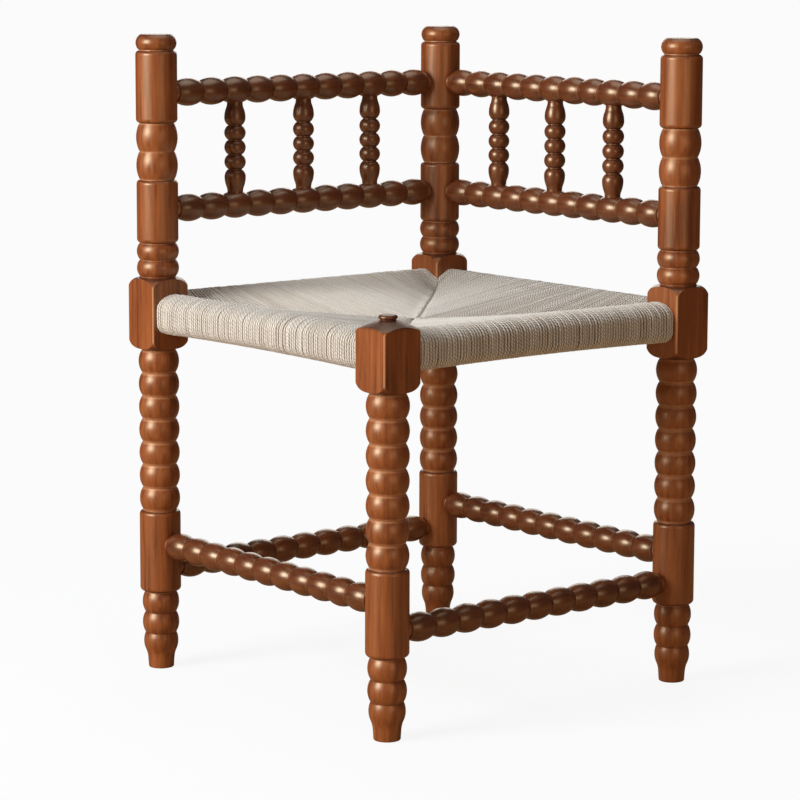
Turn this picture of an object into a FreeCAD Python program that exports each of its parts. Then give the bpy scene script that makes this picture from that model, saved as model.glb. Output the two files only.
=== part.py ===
import FreeCAD, Part
import math
import os
import re

import Sketcher

# Corner chair: three tall turned posts and one short front leg stand at the corners of a
# square. Seat rails join their square blocks, bobbin-turned stretchers join them below, and
# two low backs of bobbin-turned rails and spindles stand on the two far sides. The seat is
# twisted cord in the envelope pattern, woven over the seat rails.
#
# Frame: +Z up, the origin on the floor at the middle of the square. The front leg stands at
# -X -Y, the back post at +X +Y, the left post at -X +Y and the right post at +X -Y.

os.makedirs("parts", exist_ok=True)
doc = FreeCAD.newDocument("corner_chair")

# Driving dimensions, in millimetres
DIMENSIONS = {
    # the square and the blocks of the posts
    "post_spacing": 429,
    "post_radius": 24.2,
    "block_width": 51,
    "block_bottom": 382,
    "block_height": 86.5,
    "block_edge_radius": 2.5,
    "collar_inset": 1.9,
    "collar_height": 1.5,
    "shoulder_height": 11.5,
    "shoulder_curve": 14,
    # details that all turned pieces of a post share
    "groove_width": 1.2,
    "groove_lip": 0.7,
    "cylinder_rounding": 5,
    # foot and ankle
    "foot_height": 42.5,
    "foot_tip_radius": 15,
    "foot_tip_rounding": 1.5,
    "foot_taper_height": 12,
    "foot_taper_radius": 15.7,
    "foot_flare_curve": 28,
    "foot_knee_height": 22.5,
    "foot_knee_radius": 18.5,
    "foot_bulge_curve": 25,
    "ankle_bead_inset": 2.5,
    "ankle_groove_depth": 3.9,
    "ankle_bead_pitch": 25,
    # leg cylinder and the leg beads under the block
    "leg_cylinder_length": 98.5,
    "leg_bead_inset": 0.4,
    "leg_groove_depth": 4.5,
    # upper part of the tall posts
    "small_bead_rise": 0.4,
    "small_groove_depth": 3.9,
    "small_bead_pitch": 19.6,
    "middle_cylinder_length": 74.2,
    "barrel_groove_depth": 4.2,
    "barrel_pitch": 32.6,
    "top_cylinder_length": 84.6,
    "cap_height": 18.3,
    "cap_inset": 0.4,
    "cap_crown_height": 10,
    "cap_crown_inset": 6.3,
    # dome and button of the front leg
    "front_block_margin": 0.5,
    "dome_height": 15,
    "dome_edge_height": 5.5,
    "dome_edge_inset": 2.2,
    "dome_edge_curve": 7,
    "dome_crown_curve": 150,
    "button_root": 3,
    "button_neck_radius": 8.6,
    "button_neck_height": 0.6,
    "button_radius": 10.5,
    "button_swell_height": 2.3,
    "button_crown_height": 2.7,
    # stretchers and back rails
    "lower_stretcher_rise": 27,
    "upper_stretcher_rise": 58.5,
    "bottom_rail_rise": 38.6,
    "top_rail_rise": 34.7,
    "rail_bead_radius": 16.3,
    "rail_groove_depth": 5.1,
    "rail_groove_width": 1,
    "rail_groove_lip": 0.5,
    "rail_neck_length": 3,
    "rail_tenon_radius": 9.5,
    "rail_tenon_wall": 0.7,
    # spindles of the backs
    "spindle_bead_radius": 12.7,
    "spindle_groove_depth": 4.5,
    "spindle_groove_width": 0.8,
    "spindle_groove_lip": 0.4,
    "spindle_bead_pitch": 17.3,
    "spindle_vase_radius": 12.6,
    "spindle_vase_rise": 9,
    "spindle_waist_inset": 2.3,
    "spindle_waist_length": 4.4,
    "spindle_waist_curve": 15,
    "spindle_neck_inset": 1,
    "spindle_neck_depth": 3,
    "spindle_tenon_radius": 5,
    "spindle_tenon_length": 8,
    # seat rails
    "seat_rail_offset": 0.75,
    "seat_rail_depth": 39,
    "seat_rail_width": 34,
    "seat_rail_top_curve": 16,
    "seat_rail_under_curve": 12,
    "seat_rail_inner_curve": 8,
    "seat_tenon_thickness": 10,
    "seat_tenon_height": 28,
    "seat_tenon_wall": 3,
    # woven seat: how far its diagonal seams lie under the crest, and the gap that the top
    # and bottom cords leave there
    "cord_thickness": 4,
    "crest_inset": 6.5,
    "seam_corner_drop": 10,
    "seam_knee_drop": 23,
    "seam_centre_drop": 27,
    "seam_knee_length": 24,
    "seam_corner_gap": 24,
    "seam_knee_gap": 5,
    "seam_centre_gap": 1,
    # card inserts in the pockets of the seat
    "insert_tip_margin": 12,
    "insert_end_margin": 38,
    # clearances
    "joint_clearance": 0.05,
    "tenon_end_gap": 0.5,
    "cord_clearance": 0.4,
}

# How many beads each turned length has
ANKLE_BEADS = 2
LEG_BEADS = 7
SMALL_BEADS = 2
BARRELS = 2
RAIL_BEADS = 11
SPINDLE_BEADS = 3
# a spindle stands at the middle bead and at every third bead from it
SPINDLE_BEAD_STEP = 3

# Heights and spans that follow from the dimensions
CYLINDER_BOTTOM = f"(foot_height + {ANKLE_BEADS} * ankle_bead_pitch)"
LEG_BEAD_BOTTOM = f"({CYLINDER_BOTTOM} + leg_cylinder_length)"
BLOCK_TOP = "(block_bottom + block_height)"
MIDDLE_CYLINDER = f"({BLOCK_TOP} + {SMALL_BEADS} * small_bead_pitch)"
BARREL_BOTTOM = f"({MIDDLE_CYLINDER} + middle_cylinder_length)"
TOP_CYLINDER = f"({BARREL_BOTTOM} + {BARRELS} * barrel_pitch)"
CAP_BOTTOM = f"({TOP_CYLINDER} + top_cylinder_length)"
POST_TOP = f"({CAP_BOTTOM} + cap_height)"
SEAT_LEVEL = "(block_bottom + block_height / 2 + seat_rail_offset)"
DOME_BOTTOM = f"({SEAT_LEVEL} + seat_rail_depth / 2 + front_block_margin)"
DOME_TOP = f"({DOME_BOTTOM} + dome_height)"
BLOCK_CORNER = "(block_width / sqrt(2) - block_edge_radius * (sqrt(2) - 1))"

# Radii of the turned details, and of the grooves beside them
COLLAR = "(post_radius - collar_inset)"
ANKLE_BEAD = "(post_radius - ankle_bead_inset)"
ANKLE_GROOVE = f"({ANKLE_BEAD} - ankle_groove_depth)"
LEG_BEAD = "(post_radius - leg_bead_inset)"
LEG_GROOVE = f"({LEG_BEAD} - leg_groove_depth)"
SMALL_BEAD = "(post_radius + small_bead_rise)"
SMALL_GROOVE = f"({SMALL_BEAD} - small_groove_depth)"
BARREL_GROOVE = "(post_radius - barrel_groove_depth)"
CAP = "(post_radius - cap_inset)"
SPINDLE_WAIST = "(spindle_vase_radius - spindle_waist_inset)"
SPINDLE_NECK = f"({SPINDLE_WAIST} - spindle_neck_inset)"

LOWER_STRETCHER = f"({CYLINDER_BOTTOM} + lower_stretcher_rise)"
UPPER_STRETCHER = f"({CYLINDER_BOTTOM} + upper_stretcher_rise)"
BOTTOM_RAIL = f"({MIDDLE_CYLINDER} + bottom_rail_rise)"
TOP_RAIL = f"({TOP_CYLINDER} + top_rail_rise)"
TENON_TIP = "(rail_tenon_radius + rail_tenon_wall)"
RAIL_LENGTH = f"(post_spacing - 2 * {TENON_TIP})"
RAIL_BEAD_START = f"(post_radius - {TENON_TIP} + rail_neck_length)"
RAIL_PITCH = f"(({RAIL_LENGTH} - 2 * {RAIL_BEAD_START}) / {RAIL_BEADS})"
SPINDLE_HALF = f"(({TOP_RAIL} - {BOTTOM_RAIL}) / 2 - rail_bead_radius)"

SEAT_SPAN = "(post_spacing - block_width)"
SEAT_TENON_TIP = "(seat_tenon_thickness / 2 + seat_tenon_wall)"
WRAP_THICKNESS = "(cord_clearance + cord_thickness)"
WRAP_TOP = f"(seat_rail_depth / 2 + {WRAP_THICKNESS})"
WRAP_FACE = f"(post_spacing / 2 + seat_rail_width / 2 + {WRAP_THICKNESS})"
CREST = "(post_spacing / 2 - crest_inset)"
HALF = "(post_spacing / 2)"

sheet = doc.addObject("Spreadsheet::Sheet", "dims")
for row, (alias, number) in enumerate(DIMENSIONS.items(), start=1):
    sheet.set(f"A{row}", alias)
    sheet.set(f"B{row}", str(number))
    sheet.setAlias(f"B{row}", alias)
doc.recompute()


def bound(formula):
    """The formula with each dimension's name made a reference to its cell."""
    return re.sub(r"[a-z_]+", lambda word: cell(word.group()), formula)


def cell(word):
    """A dimension's cell, or the word as it is when it names a function."""
    return f"dims.{word}" if word in DIMENSIONS else word


def value(formula):
    """The number that the formula gives."""
    return float(sheet.evalExpression(bound(formula)))


def new_body(node):
    """An empty body whose label is its node's name."""
    body = doc.addObject("PartDesign::Body", node)
    body.Label = node
    return body


def origin_feature(body, role):
    """One of the body's own origin planes or axes."""
    return next(item for item in body.Origin.OriginFeatures if item.Role == role)


def add_sketch(body, plane, lift="0"):
    """An empty sketch on one of the body's planes, lifted along the plane's normal."""
    sketch = body.newObject("Sketcher::SketchObject", f"{body.Name}_sketch")
    sketch.AttachmentSupport = [(origin_feature(body, plane), "")]
    sketch.MapMode = "FlatFace"
    sketch.setExpression("AttachmentOffset.Base.z", bound(lift))
    return sketch


def pinned(geometry, point, across, up):
    """Constraints that hold a point at the place two formulas give, with those formulas."""
    pairs = []
    for kind, formula, axis in (("DistanceX", across, -2), ("DistanceY", up, -1)):
        distance = value(formula)
        if abs(distance) < 1e-9:
            hold = Sketcher.Constraint("PointOnObject", geometry, point, axis)
            pairs.append((hold, None))
        else:
            hold = Sketcher.Constraint(kind, -1, 1, geometry, point, distance)
            pairs.append((hold, formula))
    return pairs


def constrain(sketch, pairs):
    """Add constraints to a sketch and bind those that come with a formula."""
    first = sketch.ConstraintCount
    sketch.addConstraint([constraint for constraint, _ in pairs])
    for index, (_, formula) in enumerate(pairs, start=first):
        if formula:
            sketch.setExpression(f"Constraints[{index}]", bound(formula))


def arc_between(start, end, curve, turn):
    """The short arc of a radius from start to end, counter-clockwise when turn is 1."""
    chord = end - start
    side = FreeCAD.Vector(-chord.y, chord.x, 0).normalize() * turn
    reach = math.sqrt(max(curve ** 2 - (chord.Length / 2) ** 2, 0))
    centre = (start + end) / 2 + side * reach
    circle = Part.Circle(centre, FreeCAD.Vector(0, 0, 1), curve)
    first, last = (start, end) if turn == 1 else (end, start)
    angles = [math.atan2(spot.y - centre.y, spot.x - centre.x) for spot in (first, last)]
    return Part.ArcOfCircle(circle, *angles)


def draw_outline(sketch, corners, arcs):
    """Draw a closed outline with every corner pinned.

    corners holds two formulas for each corner. arcs gives, for the edge that leaves a
    corner, the formula of its radius and 1 or -1 for the way it turns; other edges are
    straight.
    """
    first = sketch.GeometryCount
    count = len(corners)
    spots = [FreeCAD.Vector(value(across), value(up), 0) for across, up in corners]
    starts, ends = [], []
    for index, start in enumerate(spots):
        end = spots[(index + 1) % count]
        if index in arcs:
            curve, turn = arcs[index]
            edge = arc_between(start, end, value(curve), turn)
        else:
            turn = 1
            edge = Part.LineSegment(start, end)
        sketch.addGeometry(edge, False)
        starts.append(1 if turn == 1 else 2)
        ends.append(2 if turn == 1 else 1)
    pairs = []
    for index, (across, up) in enumerate(corners):
        after = (index + 1) % count
        meet = Sketcher.Constraint("Coincident", first + index, ends[index],
                                   first + after, starts[after])
        pairs.append((meet, None))
        pairs += pinned(first + index, starts[index], across, up)
    for index, (curve, _) in arcs.items():
        pairs.append((Sketcher.Constraint("Radius", first + index, value(curve)), curve))
    constrain(sketch, pairs)


def draw_circle(sketch, radius, up):
    """Draw a circle centred on the sketch's upright axis."""
    centre = FreeCAD.Vector(0, value(up), 0)
    circle = Part.Circle(centre, FreeCAD.Vector(0, 0, 1), value(radius))
    geometry = sketch.addGeometry(circle, False)
    size = (Sketcher.Constraint("Radius", geometry, value(radius)), radius)
    constrain(sketch, pinned(geometry, 3, "0", up) + [size])


def add_feature(body, kind, profile, **settings):
    """Add a feature on a sketch, and check that it adds or takes away material."""
    before = body.Shape.Volume if body.Tip else 0
    feature = body.newObject(f"PartDesign::{kind}", f"{body.Name}_{kind.lower()}")
    feature.Profile = profile
    for name, setting in settings.items():
        setattr(feature, name, setting)
    return feature, before


def check_change(body, before, grows):
    """Stop when the last feature did not change the body's volume the right way."""
    doc.recompute()
    change = body.Shape.Volume - before
    if (change > 0) != grows:
        raise RuntimeError(f"{body.Label}: the last feature changed the volume by {change:.3f}")


def pad(body, sketch, length):
    """Pad a sketch to both sides alike."""
    feature, before = add_feature(body, "Pad", sketch, SideType="Symmetric")
    feature.setExpression("Length", bound(length))
    check_change(body, before, True)


def pad_up(body, sketch, length):
    """Pad a sketch along its normal."""
    feature, before = add_feature(body, "Pad", sketch)
    feature.setExpression("Length", bound(length))
    check_change(body, before, True)


def cut_through(body, sketch, length):
    """Cut a sketch's outlines out of the body to both sides alike."""
    feature, before = add_feature(body, "Pocket", sketch, SideType="Symmetric")
    feature.setExpression("Length", bound(length))
    check_change(body, before, False)


def bore(body, plane, floor, length, circles=(), outlines=()):
    """Cut holes that run outward from a floor at some distance from the body's axis.

    plane is YZ_Plane for holes toward +X or XZ_Plane for holes toward +Y. The normal of
    the second one points to -Y, so its sketch is lifted the other way.
    """
    toward_x = plane == "YZ_Plane"
    sketch = add_sketch(body, plane, floor if toward_x else f"-{floor}")
    for radius, up in circles:
        draw_circle(sketch, radius, up)
    for corners in outlines:
        draw_outline(sketch, corners, {})
    feature, before = add_feature(body, "Pocket", sketch, Reversed=toward_x)
    feature.setExpression("Length", bound(length))
    check_change(body, before, False)


class Turning:
    """A turned outline, drawn from its first corner outward and then up along the piece."""

    def __init__(self, height, radius="0"):
        self.corners = [(radius, height)]
        self.arcs = {}

    def line(self, radius, height):
        """Go straight to a radius and a height."""
        self.corners.append((radius, height))

    def arc(self, radius, height, curve, turn=1):
        """Go along an arc that bulges outward, or inward when turn is -1."""
        self.arcs[len(self.corners) - 1] = (curve, turn)
        self.corners.append((radius, height))

    def bead(self, bottom, pitch, radius, groove, width="groove_width", lip="groove_lip"):
        """One bead between the middles of two grooves, each with a small lip."""
        edge = f"({groove} + {lip})"
        rise = f"({radius} - {edge})"
        half = f"(({pitch} - {width}) / 2)"
        low = f"({bottom} + {width} / 2)"
        high = f"({bottom} + {pitch} - {width} / 2)"
        self.line(groove, low)
        self.line(edge, low)
        self.arc(edge, high, f"({rise} ^ 2 + {half} ^ 2) / (2 * {rise})")
        self.line(groove, high)

    def beads(self, count, bottom, pitch, radius, groove, **cut):
        """A run of beads."""
        for index in range(count):
            self.bead(f"({bottom} + {index} * {pitch})", pitch, radius, groove, **cut)

    def cylinder(self, bottom, top, groove_below, groove_above):
        """A plain cylinder with rounded ends between two grooves."""
        low = f"({bottom} + groove_width / 2)"
        high = f"({top} - groove_width / 2)"
        for groove, height, sign in ((groove_below, low, "+"), (groove_above, high, "-")):
            edge = f"({groove} + groove_lip)"
            rise = f"(post_radius - {edge})"
            run = f"sqrt({rise} * (2 * cylinder_rounding - {rise}))"
            if sign == "+":
                self.line(groove, height)
                self.line(edge, height)
                self.arc("post_radius", f"({height} + {run})", "cylinder_rounding")
            else:
                self.line("post_radius", f"({height} - {run})")
                self.arc(edge, height, "cylinder_rounding")
                self.line(groove, height)

    def swell(self, radius, height, rise, run):
        """An arc that is upright at its widest point, to or from that point."""
        self.arc(radius, height, f"({rise} ^ 2 + {run} ^ 2) / (2 * {rise})")

    def close(self, top):
        """End the outline on the axis."""
        self.line("0", top)

    def revolve(self, body, kind="Revolution"):
        """Turn the outline about the upright axis, to add or to cut."""
        sketch = add_sketch(body, "XZ_Plane")
        draw_outline(sketch, self.corners, self.arcs)
        settings = {"ReferenceAxis": (sketch, ["V_Axis"]), "Angle": 360}
        _, before = add_feature(body, kind, sketch, **settings)
        check_change(body, before, kind == "Revolution")


def add_block(body, height):
    """The square block of a post, with rounded upright edges."""
    sketch = add_sketch(body, "XY_Plane", "block_bottom")
    side = "block_width / 2"
    short = "(block_width / 2 - block_edge_radius)"
    corners = [(side, f"-{short}"), (side, short), (short, side), (f"-{short}", side),
               (f"-({side})", short), (f"-({side})", f"-{short}"),
               (f"-{short}", f"-({side})"), (short, f"-({side})")]
    rounded = {index: ("block_edge_radius", 1) for index in (1, 3, 5, 7)}
    draw_outline(sketch, corners, rounded)
    pad_up(body, sketch, height)


def cut_shoulder(body, end, groove, sign):
    """Turn the corners off one end of the block; sign points from the end into it."""
    outside = f"({BLOCK_CORNER} + block_edge_radius)"
    clear = f"({end} - {sign} * collar_height)"
    rim = f"({end} + {sign} * shoulder_height)"
    shoulder = Turning(clear, groove)
    shoulder.line(groove, end)
    shoulder.line(COLLAR, f"({end} + {sign} * collar_height)")
    shoulder.arc(BLOCK_CORNER, rim, "shoulder_curve", sign)
    shoulder.line(outside, rim)
    shoulder.line(outside, clear)
    shoulder.revolve(body, "Groove")


def cut_dome(body):
    """Turn the top of the front block to a dome that carries the button."""
    outside = f"({BLOCK_CORNER} + block_edge_radius)"
    above = f"({DOME_TOP} + button_root)"
    edge_radius = f"({BLOCK_CORNER} - dome_edge_inset)"
    edge_height = f"({DOME_BOTTOM} + dome_edge_height)"
    dome = Turning(above, outside)
    dome.line(outside, DOME_BOTTOM)
    dome.line(BLOCK_CORNER, DOME_BOTTOM)
    dome.arc(edge_radius, edge_height, "dome_edge_curve")
    dome.arc("button_neck_radius", DOME_TOP, "dome_crown_curve")
    dome.line("button_neck_radius", above)
    dome.revolve(body, "Groove")


def add_lower_leg(body):
    """Foot, ankle beads, cylinder and leg beads, up to the block."""
    pitch = f"((block_bottom - {LEG_BEAD_BOTTOM}) / {LEG_BEADS})"
    leg = Turning("0")
    leg.line("foot_tip_radius - foot_tip_rounding", "0")
    leg.arc("foot_tip_radius", "foot_tip_rounding", "foot_tip_rounding")
    leg.line("foot_taper_radius", "foot_taper_height")
    leg.arc("foot_knee_radius", "foot_knee_height", "foot_flare_curve", -1)
    foot_top = "(foot_height - groove_width / 2)"
    leg.arc(f"({ANKLE_GROOVE} + groove_lip)", foot_top, "foot_bulge_curve")
    leg.line(ANKLE_GROOVE, foot_top)
    leg.beads(ANKLE_BEADS, "foot_height", "ankle_bead_pitch", ANKLE_BEAD, ANKLE_GROOVE)
    leg.cylinder(CYLINDER_BOTTOM, LEG_BEAD_BOTTOM, ANKLE_GROOVE, LEG_GROOVE)
    leg.beads(LEG_BEADS, LEG_BEAD_BOTTOM, pitch, LEG_BEAD, LEG_GROOVE)
    leg.line(LEG_GROOVE, "block_bottom")
    leg.close("block_bottom")
    leg.revolve(body)


def add_upper_post(body):
    """Small beads, cylinders, barrels and cap above the block."""
    post = Turning(BLOCK_TOP)
    post.line(SMALL_GROOVE, BLOCK_TOP)
    post.beads(SMALL_BEADS, BLOCK_TOP, "small_bead_pitch", SMALL_BEAD, SMALL_GROOVE)
    post.cylinder(MIDDLE_CYLINDER, BARREL_BOTTOM, SMALL_GROOVE, BARREL_GROOVE)
    post.beads(BARRELS, BARREL_BOTTOM, "barrel_pitch", "post_radius", BARREL_GROOVE)
    post.cylinder(TOP_CYLINDER, CAP_BOTTOM, BARREL_GROOVE, BARREL_GROOVE)
    edge = f"({BARREL_GROOVE} + groove_lip)"
    edge_height = f"({CAP_BOTTOM} + groove_width / 2)"
    widest = f"({POST_TOP} - cap_crown_height)"
    post.line(BARREL_GROOVE, edge_height)
    post.line(edge, edge_height)
    post.swell(CAP, widest, f"({CAP} - {edge})", f"({widest} - {edge_height})")
    post.swell(f"({CAP} - cap_crown_inset)", POST_TOP, "cap_crown_inset", "cap_crown_height")
    post.close(POST_TOP)
    post.revolve(body)


def add_button(body):
    """The small turned button on top of the front leg."""
    neck_top = f"({DOME_TOP} + button_neck_height)"
    widest = f"({neck_top} + button_swell_height)"
    top = f"({widest} + button_crown_height)"
    button = Turning(f"({DOME_TOP} - button_root)")
    button.line("button_neck_radius", f"({DOME_TOP} - button_root)")
    button.line("button_neck_radius", neck_top)
    button.swell("button_radius", widest, "(button_radius - button_neck_radius)",
                 "button_swell_height")
    button.arc("(button_radius - button_crown_height)", top, "button_crown_height")
    button.close(top)
    button.revolve(body)


def rectangle(width, height, middle):
    """The corners of a rectangle centred on the upright axis at a height."""
    half = f"({width} / 2)"
    low = f"({middle} - {height} / 2)"
    high = f"({middle} + {height} / 2)"
    return [(half, low), (half, high), (f"-{half}", high), (f"-{half}", low)]


def cut_mortises(body, plane, rail_heights):
    """The seat rail's mortise and round mortises on one side of a post."""
    gap = "2 * joint_clearance"
    seat = rectangle(f"(seat_tenon_thickness + {gap})", f"(seat_tenon_height + {gap})",
                     SEAT_LEVEL)
    bore(body, plane, f"({SEAT_TENON_TIP} - tenon_end_gap)", "block_width",
         outlines=[seat])
    radius = "(rail_tenon_radius + joint_clearance)"
    bore(body, plane, f"({TENON_TIP} - tenon_end_gap)", "post_radius",
         circles=[(radius, height) for height in rail_heights])


def make_post(node, x_heights, y_heights, tall=True):
    """A post or the front leg on its own axis, with mortises toward its +X and +Y."""
    body = new_body(node)
    add_block(body, "block_height" if tall else f"({DOME_TOP} - block_bottom)")
    cut_shoulder(body, "block_bottom", LEG_GROOVE, 1)
    if tall:
        cut_shoulder(body, BLOCK_TOP, SMALL_GROOVE, -1)
        add_upper_post(body)
    else:
        cut_dome(body)
        add_button(body)
    add_lower_leg(body)
    cut_mortises(body, "YZ_Plane", x_heights)
    cut_mortises(body, "XZ_Plane", y_heights)
    return body


def make_turned_rail(node, bored=False):
    """A bobbin-turned rail along its own Z axis, bored toward +X for spindles."""
    body = new_body(node)
    groove = "(rail_bead_radius - rail_groove_depth)"
    bead_end = f"({RAIL_LENGTH} - {RAIL_BEAD_START})"
    rail = Turning("0")
    rail.line("rail_tenon_radius", "0")
    rail.line("rail_tenon_radius", RAIL_BEAD_START)
    rail.line(groove, RAIL_BEAD_START)
    rail.beads(RAIL_BEADS, RAIL_BEAD_START, RAIL_PITCH, "rail_bead_radius", groove,
               width="rail_groove_width", lip="rail_groove_lip")
    rail.line(groove, bead_end)
    rail.line("rail_tenon_radius", bead_end)
    rail.line("rail_tenon_radius", RAIL_LENGTH)
    rail.close(RAIL_LENGTH)
    rail.revolve(body)
    if bored:
        places = [f"({RAIL_LENGTH} / 2 + {step * SPINDLE_BEAD_STEP} * {RAIL_PITCH})"
                  for step in (-1, 0, 1)]
        seat = "(rail_bead_radius - spindle_neck_depth)"
        neck = f"({SPINDLE_NECK} + joint_clearance)"
        tenon = "(spindle_tenon_radius + joint_clearance)"
        bore(body, "YZ_Plane", seat, "rail_bead_radius",
             circles=[(neck, place) for place in places])
        bore(body, "YZ_Plane", f"({seat} - spindle_tenon_length - tenon_end_gap)",
             "rail_bead_radius", circles=[(tenon, place) for place in places])
    return body


def make_spindle(node):
    """A spindle of the back: a vase, three small beads and a vase upside down."""
    body = new_body(node)
    reach = f"({SPINDLE_HALF} + spindle_neck_depth)"
    beads = f"({SPINDLE_BEADS} * spindle_bead_pitch / 2)"
    groove = "(spindle_bead_radius - spindle_groove_depth)"
    lip = f"({groove} + spindle_groove_lip)"
    lip_height = f"({beads} + spindle_groove_width / 2)"
    vase_height = f"({beads} + spindle_vase_rise)"
    waist_height = f"({SPINDLE_HALF} - spindle_waist_length)"
    foot_run = f"({waist_height} - {vase_height})"
    head_rise = f"(spindle_vase_radius - {lip})"
    head_run = f"({vase_height} - {lip_height})"
    end = f"({reach} + spindle_tenon_length)"
    spindle = Turning(f"-{end}")
    spindle.line("spindle_tenon_radius", f"-{end}")
    spindle.line("spindle_tenon_radius", f"-{reach}")
    spindle.line(SPINDLE_NECK, f"-{reach}")
    spindle.line(SPINDLE_NECK, f"-{SPINDLE_HALF}")
    spindle.arc(SPINDLE_WAIST, f"-{waist_height}", "spindle_waist_curve", -1)
    spindle.swell("spindle_vase_radius", f"-{vase_height}", "spindle_waist_inset", foot_run)
    spindle.swell(lip, f"-{lip_height}", head_rise, head_run)
    spindle.line(groove, f"-{lip_height}")
    spindle.beads(SPINDLE_BEADS, f"-{beads}", "spindle_bead_pitch", "spindle_bead_radius",
                  groove, width="spindle_groove_width", lip="spindle_groove_lip")
    spindle.line(groove, lip_height)
    spindle.line(lip, lip_height)
    spindle.swell("spindle_vase_radius", vase_height, head_rise, head_run)
    spindle.swell(SPINDLE_WAIST, waist_height, "spindle_waist_inset", foot_run)
    spindle.arc(SPINDLE_NECK, SPINDLE_HALF, "spindle_waist_curve", -1)
    spindle.line(SPINDLE_NECK, reach)
    spindle.line("spindle_tenon_radius", reach)
    spindle.line("spindle_tenon_radius", end)
    spindle.close(end)
    spindle.revolve(body)
    return body


def draw_rail_section(sketch, middle, outward, gap):
    """The section of a seat rail, with its outer edges rounded more than its inner ones.

    middle is the section's place across, outward is 1 or -1 for its outer side, and gap
    makes the section larger all round.
    """
    half = f"(seat_rail_width / 2 + {gap})"
    tall = f"(seat_rail_depth / 2 + {gap})"
    top = f"(seat_rail_top_curve + {gap})"
    under = f"(seat_rail_under_curve + {gap})"
    inner = f"(seat_rail_inner_curve + {gap})"

    def spot(out, up):
        return f"({middle} + {outward} * ({out}))", up

    corners = [spot(half, f"({under} - {tall})"), spot(half, f"({tall} - {top})"),
               spot(f"{half} - {top}", tall), spot(f"{inner} - {half}", tall),
               spot(f"-{half}", f"({tall} - {inner})"),
               spot(f"-{half}", f"({inner} - {tall})"),
               spot(f"{inner} - {half}", f"-{tall}"), spot(f"{half} - {under}", f"-{tall}")]
    arcs = {1: (top, outward), 3: (inner, outward), 5: (inner, outward),
            7: (under, outward)}
    draw_outline(sketch, corners, arcs)


def make_seat_rail(node):
    """A rounded seat rail along its own X axis, its outer side toward -Y."""
    body = new_body(node)
    section = add_sketch(body, "YZ_Plane")
    draw_rail_section(section, "0", -1, "0")
    pad(body, section, f"({SEAT_SPAN} - 2 * joint_clearance)")
    tenons = add_sketch(body, "YZ_Plane")
    draw_outline(tenons, rectangle("seat_tenon_thickness", "seat_tenon_height", "0"), {})
    pad(body, tenons, f"(post_spacing - 2 * {SEAT_TENON_TIP})")
    return body


def loft(body, kind, sections):
    """A straight-sided loft through outlines at several distances along Y."""
    sketches = []
    for place, corners in sections:
        sketch = add_sketch(body, "XZ_Plane", f"-({place})")
        draw_outline(sketch, corners, {})
        sketches.append(sketch)
    settings = {"Sections": sketches[1:], "Ruled": True}
    return add_feature(body, kind, sketches[0], **settings)


def cut_loft(body, sections):
    """Cut a straight-sided loft out of the body."""
    _, before = loft(body, "SubtractiveLoft", sections)
    check_change(body, before, False)


def between(start, end, low, high, place):
    """The height at a place on the straight line from (start, low) to (end, high)."""
    return f"({low} + ({high} - {low}) * ({place} - {start}) / ({end} - {start}))"


# Places along the diagonal seam: the middle of the seat, a knee and the block's corner
SEAM_KNEE = f"({SEAT_SPAN} / 2 - seam_knee_length)"
SEAM_PLACES = ["0", SEAM_KNEE, f"({SEAT_SPAN} / 2)"]
SEAM_DROPS = ["seam_centre_drop", "seam_knee_drop", "seam_corner_drop"]
SEAM_GAPS = ["seam_centre_gap", "seam_knee_gap", "seam_corner_gap"]
SEAM_TOPS = [f"({WRAP_TOP} - {drop})" for drop in SEAM_DROPS]
SEAM_UNDERS = [f"({top} - {gap} - 2 * cord_thickness)" for top, gap in zip(SEAM_TOPS, SEAM_GAPS)]


def pit_sections(seams, level, outside):
    """Sections of the hollow over one panel, from its crest down to the seams."""
    sections = []
    for index in (-2, -1, 0, 1, 2):
        seam_place = SEAM_PLACES[abs(index)]
        corners = [(seam_place, seams[abs(index)]), (CREST, level), (CREST, outside),
                   (seam_place, outside)]
        place = seam_place if index > 0 else f"-{seam_place}"
        sections.append((place if index else "0", corners))
    return sections


def insert_sections(gap):
    """Sections of a card insert between the layers of cord, or of its pocket.

    gap is what the insert leaves free; the pocket has none.
    """
    base = "(post_spacing / 2 - seat_rail_width / 2 - cord_clearance)"
    reach = f"({SEAT_SPAN} / 2 - insert_end_margin)"
    knee_top = between("0", SEAM_KNEE, SEAM_TOPS[0], SEAM_TOPS[1], reach)
    knee_under = between("0", SEAM_KNEE, SEAM_UNDERS[0], SEAM_UNDERS[1], reach)
    sections = []
    ends = [(f"-{reach}", reach, knee_top, knee_under, f"+ {gap}"),
            ("0", "0", SEAM_TOPS[0], SEAM_UNDERS[0], ""),
            (reach, reach, knee_top, knee_under, f"- {gap}")]
    for place, seam, top, under, shift in ends:
        corners = []
        for across, side in ((f"({seam} + insert_tip_margin + {gap})", "tip"),
                             (f"({base} - {gap})", "base")):
            high = between(seam, CREST, top, WRAP_TOP, across)
            low = between(seam, CREST, under, f"-{WRAP_TOP}", across)
            pair = [(across, f"({low} + cord_thickness + {gap})"),
                    (across, f"({high} - cord_thickness - {gap})")]
            corners += pair if side == "tip" else reversed(pair)
        sections.append((f"{place} {shift}", corners))
    return sections


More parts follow.
